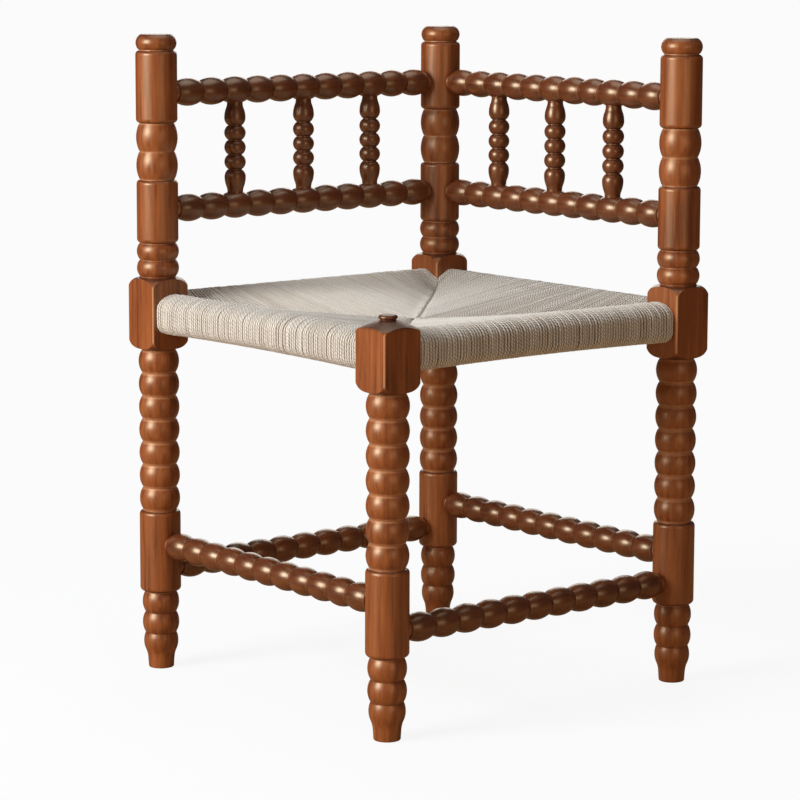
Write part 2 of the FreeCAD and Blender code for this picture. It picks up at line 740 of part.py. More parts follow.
def make_cord_panel(node):
    """The panel of cord on the +X side, as one closed solid around its seat rail.

    It reaches from the wrap's outer face to the two diagonal seams.
    """
    body = new_body(node)
    bar = add_sketch(body, "XZ_Plane")
    top = f"(seat_rail_top_curve + {WRAP_THICKNESS})"
    under = f"(seat_rail_under_curve + {WRAP_THICKNESS})"
    corners = [("0", f"-{WRAP_TOP}"), (f"({WRAP_FACE} - {under})", f"-{WRAP_TOP}"),
               (WRAP_FACE, f"({under} - {WRAP_TOP})"), (WRAP_FACE, f"({WRAP_TOP} - {top})"),
               (f"({WRAP_FACE} - {top})", WRAP_TOP), ("0", WRAP_TOP)]
    draw_outline(bar, corners, {1: (under, 1), 3: (top, 1)})
    pad(body, bar, f"({SEAT_SPAN} - 2 * cord_clearance)")

    beyond = add_sketch(body, "XY_Plane")
    tip = "(cord_clearance / sqrt(2))"
    far = f"({WRAP_FACE} - {tip})"
    corners = [(tip, "0"), (WRAP_FACE, far), (f"-{WRAP_FACE}", far),
               (f"-{WRAP_FACE}", f"-{far}"), (WRAP_FACE, f"-{far}")]
    draw_outline(beyond, corners, {})
    cut_through(body, beyond, f"(4 * {WRAP_TOP})")

    channel = add_sketch(body, "XZ_Plane")
    draw_rail_section(channel, HALF, 1, "cord_clearance")
    cut_through(body, channel, SEAT_SPAN)
    cut_loft(body, insert_sections("0"))
    cut_loft(body, pit_sections(SEAM_TOPS, WRAP_TOP, f"({WRAP_TOP} + cord_thickness)"))
    cut_loft(body, pit_sections(SEAM_UNDERS, f"-{WRAP_TOP}", f"(-{WRAP_TOP} - cord_thickness)"))
    return body


def make_insert(node):
    """A card insert of the seat, on the +X side of the seat's middle."""
    body = new_body(node)
    _, before = loft(body, "AdditiveLoft", insert_sections("cord_clearance"))
    check_change(body, before, True)
    return body


def put(body, across, along, up, turn):
    """Set the body's placement: formulas for its base, and its rotation."""
    body.Placement = FreeCAD.Placement(FreeCAD.Vector(0, 0, 0), turn)
    for axis, formula in (("x", across), ("y", along), ("z", up)):
        body.setExpression(f"Placement.Base.{axis}", bound(formula))


def yaw(angle):
    """A rotation about Z."""
    return FreeCAD.Rotation(FreeCAD.Vector(0, 0, 1), angle)


ALONG_X = FreeCAD.Rotation(FreeCAD.Vector(0, 1, 0), 90)

# The posts: place across and along, turn about Z, and the round mortises that face +X and
# +Y before the turn
BACK_RAILS = [BOTTOM_RAIL, TOP_RAIL]
post = make_post("front_leg", [LOWER_STRETCHER], [UPPER_STRETCHER], tall=False)
put(post, f"-{HALF}", f"-{HALF}", "0", yaw(0))
post = make_post("right_post", [UPPER_STRETCHER] + BACK_RAILS, [LOWER_STRETCHER])
put(post, HALF, f"-{HALF}", "0", yaw(90))
post = make_post("back_post", [LOWER_STRETCHER] + BACK_RAILS, [UPPER_STRETCHER] + BACK_RAILS)
put(post, HALF, HALF, "0", yaw(180))
post = make_post("left_post", [UPPER_STRETCHER], [LOWER_STRETCHER] + BACK_RAILS)
put(post, f"-{HALF}", HALF, "0", yaw(270))

# The four sides: the side's name, its turn about Z from the side at -Y, its stretcher's
# height and whether it has a back
SIDES = [("front_right", 0, LOWER_STRETCHER, False), ("back_right", 90, UPPER_STRETCHER, True),
         ("back_left", 180, LOWER_STRETCHER, True), ("front_left", 270, UPPER_STRETCHER, False)]


def side_spot(angle, along_side, outward):
    """The place on a side: a distance along it and one outward from the middle."""
    cosine = round(math.cos(math.radians(angle)))
    sine = round(math.sin(math.radians(angle)))
    across = f"({cosine} * {along_side} + {sine} * {outward})"
    along = f"({sine} * {along_side} - {cosine} * {outward})"
    return across, along


for side, angle, stretcher_height, has_back in SIDES:
    rail = make_seat_rail(f"{side}_seat_rail")
    put(rail, *side_spot(angle, "0", HALF), SEAT_LEVEL, yaw(angle))

    rail_end = side_spot(angle, f"(-{RAIL_LENGTH} / 2)", HALF)
    stretcher = make_turned_rail(f"{side}_stretcher")
    put(stretcher, *rail_end, stretcher_height, yaw(angle) * ALONG_X)

    panel = make_cord_panel(f"{side}_cord_panel")
    put(panel, "0", "0", SEAT_LEVEL, yaw(angle - 90))
    insert = make_insert(f"{side}_insert")
    put(insert, "0", "0", SEAT_LEVEL, yaw(angle - 90))

    if not has_back:
        continue
    upper = make_turned_rail(f"{side}_top_rail", bored=True)
    put(upper, *rail_end, TOP_RAIL, yaw(angle) * ALONG_X)
    lower = make_turned_rail(f"{side}_bottom_rail", bored=True)
    put(lower, *rail_end, BOTTOM_RAIL, yaw(angle) * ALONG_X * yaw(180))
    for number, step in enumerate((-1, 0, 1), start=1):
        spindle = make_spindle(f"{side}_spindle_{number}")
        spot = side_spot(angle, f"({step * SPINDLE_BEAD_STEP} * {RAIL_PITCH})", HALF)
        put(spindle, *spot, f"(({TOP_RAIL} + {BOTTOM_RAIL}) / 2)", yaw(angle))

doc.recompute()
for item in doc.Objects:
    if "Invalid" in item.State or "Error" in item.State:
        raise RuntimeError(f"{item.Label} failed: {item.State}")
bodies = [item for item in doc.Objects if item.TypeId == "PartDesign::Body"]
for body in bodies:
    if body.Shape.isNull() or not body.Shape.isValid() or len(body.Shape.Solids) != 1:
        raise RuntimeError(f"{body.Label} is not one valid solid")
for body in bodies:
    body.Shape.exportStep(f"parts/{body.Label}.step")
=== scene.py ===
"""Corner chair: finishes for its bobbin-turned frame, and a seat woven from twisted paper cord.

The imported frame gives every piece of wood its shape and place. This script finishes the
wood, replaces the four plain cord panels with single twisted cords, and sets up the camera,
the lights and the floor. Lengths are in metres, and angles are in radians.
"""

import logging
import math
from dataclasses import dataclass
from enum import Enum

import bpy
import numpy as np
from mathutils import Matrix, Vector


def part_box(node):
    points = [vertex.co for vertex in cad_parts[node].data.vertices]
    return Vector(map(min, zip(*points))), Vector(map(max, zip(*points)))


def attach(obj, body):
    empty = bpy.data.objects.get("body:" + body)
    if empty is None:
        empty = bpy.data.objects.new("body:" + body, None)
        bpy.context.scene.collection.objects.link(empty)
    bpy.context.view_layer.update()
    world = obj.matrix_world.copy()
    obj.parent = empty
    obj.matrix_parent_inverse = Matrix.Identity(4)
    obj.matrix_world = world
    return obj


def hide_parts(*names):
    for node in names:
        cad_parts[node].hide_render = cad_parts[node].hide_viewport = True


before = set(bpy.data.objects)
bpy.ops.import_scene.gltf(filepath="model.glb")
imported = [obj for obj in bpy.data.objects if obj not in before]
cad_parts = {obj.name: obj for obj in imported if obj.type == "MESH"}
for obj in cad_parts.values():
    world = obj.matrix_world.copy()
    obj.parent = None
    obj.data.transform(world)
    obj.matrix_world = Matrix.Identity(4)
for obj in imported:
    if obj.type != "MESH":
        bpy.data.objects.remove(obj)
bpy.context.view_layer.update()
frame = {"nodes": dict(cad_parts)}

log = logging.getLogger("corner_chair")

MM = 0.001
# random phases lie between 0 and this, about a full turn
PHASES = 6.28


class Side(Enum):
    """A side of the square seat, with the turn about Z that brings it from +X."""

    BACK_RIGHT = 0
    BACK_LEFT = 90
    FRONT_LEFT = 180
    FRONT_RIGHT = 270

    @property
    def label(self) -> str:
        """The side's name in the frame's nodes."""
        return self.name.lower()

    @property
    def outward(self) -> np.ndarray:
        """The unit vector that points out of the seat on this side."""
        turn = math.radians(self.value)
        return np.array([round(math.cos(turn)), round(math.sin(turn)), 0.0])

    @property
    def along(self) -> np.ndarray:
        """The unit vector along this side, a quarter turn on from outward."""
        x, y, _ = self.outward
        return np.array([-y, x, 0.0])


class Grain(Enum):
    """The axis that a piece of wood's grain follows."""

    X = 0
    Y = 1
    Z = 2


class Shader:
    """A material's node tree, with short calls that add and join its nodes."""

    def __init__(self, name: str) -> None:
        """Start an empty material.

        Args:
            name: The material's name.
        """
        self.material = bpy.data.materials.new(name)
        self.material.use_nodes = True
        self.tree = self.material.node_tree
        self.tree.nodes.clear()

    def add(self, kind: str, inputs: dict | None = None, **settings: object) -> bpy.types.Node:
        """Add a node.

        Args:
            kind: The node's type, without its ShaderNode prefix.
            inputs: Values or output sockets for the node's inputs, by name or number.
            settings: Values for the node's own properties.

        Returns:
            The new node.
        """
        node = self.tree.nodes.new("ShaderNode" + kind)
        for name, setting in settings.items():
            setattr(node, name, setting)
        for name, given in (inputs or {}).items():
            if isinstance(given, bpy.types.NodeSocket):
                self.tree.links.new(given, node.inputs[name])
            else:
                node.inputs[name].default_value = given
        return node

    def math(self, operation: str, *values: object, clamp: bool = False) -> bpy.types.NodeSocket:
        """Add a math node.

        Args:
            operation: The operation's name.
            values: Numbers or sockets for its inputs.
            clamp: Whether the result is kept between 0 and 1.

        Returns:
            The result's socket.
        """
        node = self.add("Math", dict(enumerate(values)), operation=operation, use_clamp=clamp)
        return node.outputs[0]

    def mix(self, factor: object, first: object, second: object, blend: str = "MIX"
            ) -> bpy.types.NodeSocket:
        """Mix two colours.

        Args:
            factor: How much of the second colour is taken.
            first: A colour or a socket.
            second: A colour or a socket.
            blend: The way they are mixed.

        Returns:
            The mixed colour's socket.
        """
        node = self.add("Mix", {0: factor, 6: first, 7: second}, data_type="RGBA",
                        blend_type=blend)
        return node.outputs[2]

    def noise(self, vector: bpy.types.NodeSocket, scale: float, detail: float = 3.0,
              roughness: float = 0.5) -> bpy.types.NodeSocket:
        """Add a noise texture.

        Args:
            vector: Where the noise is looked up.
            scale: How fine it is.
            detail: How many finer layers it has.
            roughness: How strong the finer layers are.

        Returns:
            The noise value's socket, about 0.5 on average.
        """
        node = self.add("TexNoise", {"Vector": vector, "Scale": scale, "Detail": detail,
                                     "Roughness": roughness})
        return node.outputs["Fac"]

    def remap(self, socket: bpy.types.NodeSocket, low: float, high: float,
              to_low: float = 0.0, to_high: float = 1.0) -> bpy.types.NodeSocket:
        """Map a range of values to another one, with soft ends.

        Args:
            socket: The value.
            low: Where the range starts.
            high: Where the range ends.
            to_low: The result at the start.
            to_high: The result at the end.

        Returns:
            The result's socket.
        """
        node = self.add("MapRange", {"Value": socket, "From Min": low, "From Max": high,
                                     "To Min": to_low, "To Max": to_high},
                        interpolation_type="SMOOTHSTEP")
        return node.outputs[0]

    def surface(self, bsdf: bpy.types.Node) -> bpy.types.Material:
        """Join a shader to the material's output and return the material."""
        self.add("OutputMaterial", {"Surface": bsdf.outputs[0]})
        return self.material


Colour = tuple[float, float, float, float]


@dataclass(frozen=True)
class Turned:
    """What the stain, the painted shade and the painted highlights follow on one turned piece, in
    metres.

    Args:
        grain: The axis that the grain follows and that the piece was turned about.
        middle: A point on that axis.
        line_radius: The radius of the grooves, where a thin painted highlight runs.
        line_from: Where the first groove lies along the axis.
        line_to: Where the last groove lies along the axis.
        depth: How strongly painted shade darkens the whole piece, from 0 to 1.
        shade_from: The place along the axis above which painted shade darkens the piece.
        glint_strength: How strong the painted highlight in the grooves is, from 0 to 1.
        polish: How much smoother and glossier than usual the piece is.
        half_block: Half the width of the piece's square block, where it has one.
    """

    grain: Grain
    middle: Vector
    line_radius: float
    line_from: float = -1.0
    line_to: float = 1.0
    depth: float = 0.0
    shade_from: float = 1.0
    glint_strength: float = 0.55
    polish: float = 0.0
    half_block: float | None = None


@dataclass(frozen=True)
class StainedWood:
    """Turned hardwood with a red-brown stain under a satin lacquer.

    Each share says how strongly a colour covers the one under it, from 0 to 1, and each
    range says between which values of its noise that colour comes in.
    """

    deep: Colour = (0.140, 0.027, 0.0066, 1.0)
    body: Colour = (0.256, 0.060, 0.0125, 1.0)
    light: Colour = (0.352, 0.098, 0.0240, 1.0)
    # painted shade: the colour that darkens the rails, stretchers and spindles, the leg's button,
    # and surfaces facing along the grain
    painted_shade: Colour = (0.050, 0.010, 0.0045, 1.0)
    # painted highlight: the light colour of the thin lines in the grooves and along the blocks'
    # upright edges
    painted_highlight: Colour = (0.600, 0.270, 0.1250, 1.0)
    streak_scale: float = 170.0
    streak_stretch: float = 0.045
    streak_range: tuple[float, float] = (0.25, 0.75)
    light_share: float = 0.8
    pore_scale: float = 620.0
    pore_stretch: float = 0.05
    dark_pores: tuple[float, float] = (0.56, 0.72)
    dark_pore_share: float = 0.45
    pale_pores: tuple[float, float] = (0.44, 0.30)
    pale_pore_share: float = 0.40
    blotch_scale: float = 11.0
    blotch_strength: float = 0.2
    roughness: float = 0.40
    roughness_spread: float = 0.12
    gloss: float = 1.0
    ior: float = 1.54
    gloss_tint: Colour = (1.0, 0.76, 0.47, 1.0)
    coat: float = 0.08
    coat_roughness: float = 0.30
    pore_depth: float = 0.10 * MM
    pore_strength: float = 0.3
    # the width of the painted highlight line in each groove
    line_width: float = 1.3 * MM
    # painted highlight along the blocks' upright edges
    arris_width: float = 2.2 * MM
    arris_core: float = 0.35
    arris_highlight_share: float = 0.85
    # painted shade over the leg's button, fading in over this height
    top_shade_fade: float = 4.0 * MM
    top_shade_share: float = 0.7
    # painted shade where the surface faces along the grain
    facing_shade_range: tuple[float, float] = (0.40, 0.95)
    facing_shade_share: float = 0.85

    def material(self, name: str, turned: Turned, seed: float) -> bpy.types.Material:
        """Make the finish for one piece.

        Args:
            name: The material's name.
            turned: How the piece was turned.
            seed: A number that moves the grain, so that no two pieces look alike.

        Returns:
            The material.
        """
        shader = Shader(name)
        place = shader.add("TexCoord").outputs["Object"]
        streaks = self.stretched(shader, place, turned.grain, self.streak_stretch, seed)
        pores_at = self.stretched(shader, place, turned.grain, self.pore_stretch, seed)
        figure = shader.noise(streaks, self.streak_scale, 4.0, 0.6)
        blotch = shader.noise(place, self.blotch_scale, 2.0)
        pores = shader.noise(pores_at, self.pore_scale, 2.0, 0.6)

        uneven = shader.remap(blotch, *self.streak_range, -self.blotch_strength,
                              self.blotch_strength)
        lightness = shader.math("ADD", shader.remap(figure, *self.streak_range), uneven,
                                clamp=True)
        colour = shader.mix(shader.remap(lightness, 0.0, 0.5), self.deep, self.body)
        colour = shader.mix(shader.remap(lightness, 0.5, 1.0, 0.0, self.light_share), colour,
                            self.light)
        colour = shader.mix(shader.remap(pores, *self.dark_pores, 0.0, self.dark_pore_share),
                            colour, self.deep)
        colour = shader.mix(shader.remap(pores, *self.pale_pores, 0.0, self.pale_pore_share),
                            colour, self.light)
        # painted shade over the whole piece
        colour = shader.mix(turned.depth, colour, self.painted_shade)
        along = shader.add("SeparateXYZ", {0: place}).outputs[turned.grain.value]
        # painted shade over the leg's button
        top_shade = shader.remap(along, turned.shade_from, turned.shade_from + self.top_shade_fade, 0.0,
                           self.top_shade_share)
        colour = shader.mix(top_shade, colour, self.painted_shade)
        # painted shade where the surface faces along the grain
        colour = shader.mix(self.facing_shade_mask(shader, turned.grain), colour, self.painted_shade)
        # painted highlight: a thin light line in each groove
        colour = shader.mix(self.groove_glint_mask(shader, place, turned), colour, self.painted_highlight)
        # painted highlight along the block's upright edges
        if turned.half_block is not None:
            colour = shader.mix(self.arris_highlight_mask(shader, place, turned), colour, self.painted_highlight)
        rough = shader.math("ADD", shader.math("MULTIPLY", figure, self.roughness_spread),
                            self.roughness - self.roughness_spread / 2 - turned.polish)
        bump = shader.add("Bump", {"Height": pores, "Strength": self.pore_strength,
                                   "Distance": self.pore_depth})
        bsdf = shader.add("BsdfPrincipled", {
            "Base Color": colour, "Roughness": rough, "Normal": bump.outputs[0],
            "Coat Weight": self.coat + turned.polish, "Coat Roughness": self.coat_roughness,
            "IOR": self.ior, "Specular IOR Level": self.gloss,
            "Specular Tint": self.gloss_tint})
        return shader.surface(bsdf)

    @staticmethod
    def stretched(shader: Shader, place: bpy.types.NodeSocket, grain: Grain, stretch: float,
                  seed: float) -> bpy.types.NodeSocket:
        """Stretch the place on a piece along its grain.

        Args:
            shader: The material's node tree.
            place: The place's socket.
            grain: The axis that the grain follows.
            stretch: The scale along that axis.
            seed: How far the place is moved.

        Returns:
            The stretched place's socket.
        """
        scale = [1.0, 1.0, 1.0]
        scale[grain.value] = stretch
        return shader.add("Mapping", {"Vector": place, "Location": (seed, seed * 0.7, seed * 1.3),
                                      "Scale": scale}).outputs[0]

    def facing_shade_mask(self, shader: Shader, grain: Grain) -> bpy.types.NodeSocket:
        """Where the surface faces along the grain, which painted shade darkens, as on the tops
        and undersides of beads.

        Args:
            shader: The material's node tree.
            grain: The axis that the grain follows.

        Returns:
            The mask's socket, 0 where there is no painted shade.
        """
        geometry = shader.add("NewGeometry")
        local = shader.add("VectorTransform", {"Vector": geometry.outputs["Normal"]},
                           vector_type="NORMAL", convert_from="WORLD", convert_to="OBJECT")
        split = shader.add("SeparateXYZ", {0: local.outputs[0]})
        facing = shader.math("ABSOLUTE", split.outputs[grain.value])
        return shader.remap(facing, *self.facing_shade_range, 0.0, self.facing_shade_share)

    def arris_highlight_mask(self, shader: Shader, place: bpy.types.NodeSocket, turned: Turned
                   ) -> bpy.types.NodeSocket:
        """Where a painted highlight runs along the upright edges of a block.

        Args:
            shader: The material's node tree.
            place: The socket of the place on the piece.
            turned: How the piece was turned.

        Returns:
            The mask's socket, 0 away from the edges.
        """
        offset = shader.add("VectorMath", {0: place, 1: turned.middle},
                            operation="SUBTRACT").outputs[0]
        size = shader.add("VectorMath", {0: offset}, operation="ABSOLUTE").outputs[0]
        split = shader.add("SeparateXYZ", {0: size})
        nearest = shader.math("MINIMUM", split.outputs[0], split.outputs[1])
        edge = turned.half_block
        return shader.remap(nearest, edge - self.arris_width,
                            edge - self.arris_width * self.arris_core, 0.0, self.arris_highlight_share)

    def groove_glint_mask(self, shader: Shader, place: bpy.types.NodeSocket, turned: Turned
                  ) -> bpy.types.NodeSocket:
        """Where a painted highlight runs in a fine light line along each groove.

        Args:
            shader: The material's node tree.
            place: The socket of the place on the piece.
            turned: How the piece was turned.

        Returns:
            The mask's socket, 0 where there is no painted highlight.
        """
        offset = shader.add("VectorMath", {0: place, 1: turned.middle},
                            operation="SUBTRACT").outputs[0]
        flat = [1.0, 1.0, 1.0]
        flat[turned.grain.value] = 0.0
        across = shader.add("VectorMath", {0: offset, 1: flat}, operation="MULTIPLY").outputs[0]
        radius = shader.add("VectorMath", {0: across}, operation="LENGTH").outputs["Value"]
        inner = shader.remap(radius, turned.line_radius + self.line_width, turned.line_radius,
                             0.0, turned.glint_strength)
        along = shader.add("SeparateXYZ", {0: place}).outputs[turned.grain.value]
        after = shader.math("GREATER_THAN", along, turned.line_from)
        before = shader.math("LESS_THAN", along, turned.line_to)
        return shader.math("MULTIPLY", inner, shader.math("MULTIPLY", after, before))


@dataclass(frozen=True)
class PlainFinish:
    """A hidden material: bare wood or card, with a fibrous grain."""

    low: Colour
    high: Colour
    scale: float
    stretch: float
    roughness: float
    fibre_range: tuple[float, float] = (0.3, 0.7)
    fibre_strength: float = 0.4
    fibre_depth: float = 0.2 * MM

    def material(self, name: str, grain: Grain) -> bpy.types.Material:
        """Make the finish.

        Args:
            name: The material's name.
            grain: The axis that the fibres follow.

        Returns:
            The material.
        """
        shader = Shader(name)
        place = shader.add("TexCoord").outputs["Object"]
        scale = [1.0, 1.0, 1.0]
        scale[grain.value] = self.stretch
        fibres = shader.add("Mapping", {"Vector": place, "Scale": scale}).outputs[0]
        value = shader.noise(fibres, self.scale, 5.0, 0.6)
        colour = shader.mix(shader.remap(value, *self.fibre_range), self.low, self.high)
        bump = shader.add("Bump", {"Height": value, "Strength": self.fibre_strength,
                                   "Distance": self.fibre_depth})
        bsdf = shader.add("BsdfPrincipled", {"Base Color": colour, "Normal": bump.outputs[0],
                                             "Roughness": self.roughness})
        return shader.surface(bsdf)


@dataclass(frozen=True)
class PaperCord:
    """Matt twisted paper cord.

    The cords' meshes carry three attributes: tone, a lightness for each cord, valley, painted
    shade that is 1 in the grooves between two plies and where a cord faces its neighbours, and
    strand, the place along and around the cord.
    """

    # the colour of the fibres' and patches' own specks, and of the painted shade in the ply
    # grooves and between cords
    dark_fibres_and_shade: Colour = (0.225, 0.130, 0.060, 1.0)
    body: Colour = (0.790, 0.715, 0.600, 1.0)
    pale: Colour = (0.955, 0.915, 0.840, 1.0)
    fibre_scale: float = 1400.0
    fibre_stretch: float = 0.12
    fibre_share: float = 0.30
    fibre_depth: float = 0.15 * MM
    fibre_strength: float = 0.5
    patch_scale: float = 45.0
    patch_share: float = 0.15
    dark_range: tuple[float, float] = (0.40, 0.80)
    # how strongly the painted shade covers the ply grooves and the sides where cords touch
    crease_shade_share: float = 0.84
    roughness: float = 0.82
    sheen: float = 0.45
    sheen_roughness: float = 0.45

    def material(self, name: str) -> bpy.types.Material:
        """Make the finish for all cords.

        Args:
            name: The material's name.

        Returns:
            The material.
        """
        shader = Shader(name)
        tone = shader.add("Attribute", attribute_name="tone").outputs["Fac"]
        valley = shader.add("Attribute", attribute_name="valley").outputs["Fac"]
        strand = shader.add("Attribute", attribute_name="strand").outputs["Vector"]
        at = shader.add("Mapping", {"Vector": strand,
                                    "Scale": (self.fibre_stretch, 1.0, 1.0)}).outputs[0]
        fibres = shader.noise(at, self.fibre_scale, 3.0, 0.6)
        patches = shader.noise(strand, self.patch_scale, 2.0)
        colour = shader.mix(tone, self.body, self.pale)
        for noise, share in ((fibres, self.fibre_share), (patches, self.patch_share)):
            colour = shader.mix(shader.remap(noise, *self.dark_range, 0.0, share), colour,
                                self.dark_fibres_and_shade)
        # painted shade in the grooves between plies and where the cords touch
        colour = shader.mix(shader.math("MULTIPLY", valley, self.crease_shade_share), colour,
                            self.dark_fibres_and_shade)
        bump = shader.add("Bump", {"Height": fibres, "Strength": self.fibre_strength,
                                   "Distance": self.fibre_depth})
        bsdf = shader.add("BsdfPrincipled", {
            "Base Color": colour, "Roughness": self.roughness, "Sheen Weight": self.sheen,
            "Sheen Roughness": self.sheen_roughness, "Normal": bump.outputs[0]})
        return shader.surface(bsdf)


@dataclass
class TurnedFrame:
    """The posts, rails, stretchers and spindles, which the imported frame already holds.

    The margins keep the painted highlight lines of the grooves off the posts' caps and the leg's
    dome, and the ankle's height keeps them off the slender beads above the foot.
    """

    finish: StainedWood
    plain: PlainFinish
    card: PlainFinish
    post_groove: float = 20.2 * MM
    ankle_height: float = 91.5 * MM
    cap_margin: float = 10.0 * MM
    dome_margin: float = 40.0 * MM
    rail_groove_depth: float = 4.9 * MM
    # painted shade that darkens the rails, stretchers and spindles as a whole
    rail_shade: float = 0.60
    # the strength of the painted highlight in the grooves of the rails, stretchers and spindles
    rail_glint: float = 0.30
    rail_polish: float = 0.07
    button_height: float = 16.0 * MM
    grain_shift: float = 1.37

    def dress(self, nodes: dict[str, bpy.types.Object]) -> None:
        """Give every node of the frame its finish.

        Args:
            nodes: The frame's nodes by name.
        """
        for number, (name, node) in enumerate(sorted(nodes.items())):
            if name.endswith("cord_panel"):
                continue
            grain = self.grain_of(name)
            if name.endswith("seat_rail"):
                material = self.plain.material(name + "_bare_wood", grain)
            elif name.endswith("insert"):
                material = self.card.material(name + "_card", grain)
            else:
                material = self.stained(name, grain, number)
            node.data.materials.clear()
            node.data.materials.append(material)
            node.data.polygons.foreach_set("material_index", [0] * len(node.data.polygons))
            log.info("dressed %s", name)

    def stained(self, name: str, grain: Grain, number: int) -> bpy.types.Material:
        """The stain for one turned piece.

        Args:
            name: The node's name.
            grain: The axis that it was turned about.
            number: The node's number, which moves its grain.

        Returns:
            The material.
        """
        low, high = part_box(name)
        middle = (low + high) / 2
        if name.endswith(("post", "leg")):
            margin = self.cap_margin if name.endswith("post") else self.dome_margin
            # painted shade darkens the leg's button above this height; on the posts it starts at
            # their top, so it darkens nothing
            shade_from = high.z - self.button_height if name.endswith("leg") else high.z
            turned = Turned(grain, middle, self.post_groove, self.ankle_height, high.z - margin,
                            shade_from=shade_from, half_block=(high.x - low.x) / 2)
        else:
            size = high - low
            bead = sorted(size)[0] / 2
            # the rails, stretchers and spindles are darkened as a whole by painted shade, with a
            # weaker painted highlight in their grooves
            turned = Turned(grain, middle, bead - self.rail_groove_depth, depth=self.rail_shade,
                            glint_strength=self.rail_glint, polish=self.rail_polish)
        return self.finish.material(name + "_stained_wood", turned,
                                    number * self.grain_shift)

    @staticmethod
    def grain_of(name: str) -> Grain:
        """The axis that a node's grain follows."""
        low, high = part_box(name)
        size = high - low
        return Grain(max(range(3), key=lambda axis: size[axis]))


@dataclass
class SeatShape:
    """The section of the weave: where cords run over, round and under a seat rail.

    Places are measured outward from the middle of the seat and upward from the floor, on
    the outside of the cords.
    """

    half_span: float
    face: float
    crest: float
    top: float
    bottom: float
    top_curve_height: float = 16.5 * MM
    under_curve_width: float = 19.0 * MM
    under_curve_height: float = 14.0 * MM
    under_lift: float = 2.5 * MM
    centre_drop: float = 27.0 * MM
    knee_drop: float = 23.0 * MM
    corner_drop: float = 10.0 * MM
    knee_length: float = 24.0 * MM
    under_centre_rise: float = 12.0 * MM
    under_corner_rise: float = 6.0 * MM

    def seam_top(self, place: float) -> float:
        """The height of the upper seam at a distance from the middle of the seat."""
        knee = self.half_span - self.knee_length
        drop = self.centre_drop + (self.knee_drop - self.centre_drop) * min(place / knee, 1.0)
        beyond = max(place - knee, 0.0) / self.knee_length
        return self.top - drop + (self.knee_drop - self.corner_drop) * beyond ** 1.5

    def seam_under(self, place: float) -> float:
        """The height of the lower seam at a distance from the middle of the seat."""
        knee = self.half_span - self.knee_length
        beyond = max(place - knee, 0.0) / self.knee_length
        rise = self.under_centre_rise
        return self.bottom + rise + (self.under_corner_rise - rise) * beyond


@dataclass
class Cord:
    """The twisted cord: its thickness, plies and twist."""

    radius: float = 1.88 * MM
    plies: int = 3
    lay: float = 12.0 * MM
    valley: float = 0.68
    shoulder: float = 0.975
    shoulder_angle: float = math.radians(31.0)
    step: float = 1.5 * MM
    under_step: float = 2.4 * MM

    def section(self) -> tuple[np.ndarray, np.ndarray, np.ndarray]:
        """The cord's outline around its axis.

        Returns:
            The angle, the share of the radius and the valley mark of each of its points.
        """
        angles, shares, marks = [], [], []
        ply = 2 * math.pi / self.plies
        for number in range(self.plies):
            middle = number * ply
            angles += [middle - self.shoulder_angle, middle + self.shoulder_angle,
                       middle + ply / 2]
            shares += [self.shoulder, self.shoulder, self.valley]
            marks += [0.0, 0.0, 1.0]
        return np.array(angles), np.array(shares), np.array(marks)


class MeshParts:
    """Vertices, faces and attributes of a mesh that grows cord by cord."""

    def __init__(self) -> None:
        """Start with nothing."""
        self.points: list[np.ndarray] = []
        self.faces: list[list[int]] = []
        self.marks: dict[str, list[np.ndarray]] = {"tone": [], "valley": [], "strand": []}
        self.count = 0

    def add_tube(self, rings: np.ndarray, marks: dict[str, np.ndarray]) -> None:
        """Add a closed tube.

        Args:
            rings: The tube's rings, an array of rings by points by coordinates.
            marks: The tube's attributes, one value for each point.
        """
        length, around, _ = rings.shape
        index = np.arange(length * around).reshape(length, around) + self.count
        right = np.roll(index, -1, axis=1)
        quads = np.stack([index[:-1], right[:-1], right[1:], index[1:]], axis=-1)
        self.faces += quads.reshape(-1, 4).tolist()
        self.faces.append(index[0, ::-1].tolist())
        self.faces.append(index[-1].tolist())
        self.points.append(rings.reshape(-1, 3))
        for name, values in marks.items():
            self.marks[name].append(values)
        self.count += length * around

    def build(self, name: str) -> bpy.types.Object:
        """Make the mesh object.

        Args:
            name: The object's name.

        Returns:
            The object, linked to the scene.
        """
        mesh = bpy.data.meshes.new(name)
        mesh.from_pydata(np.concatenate(self.points).tolist(), [], self.faces)
        mesh.polygons.foreach_set("use_smooth", [True] * len(mesh.polygons))
        for mark in ("tone", "valley"):
            layer = mesh.attributes.new(mark, "FLOAT", "POINT")
            layer.data.foreach_set("value", np.concatenate(self.marks[mark]).astype(np.float32))
        layer = mesh.attributes.new("strand", "FLOAT_VECTOR", "POINT")
        strand = np.concatenate(self.marks["strand"]).astype(np.float32)
        layer.data.foreach_set("vector", strand.ravel())
        mesh.update()
        piece = bpy.data.objects.new(name, mesh)
        bpy.context.scene.collection.objects.link(piece)
        return piece


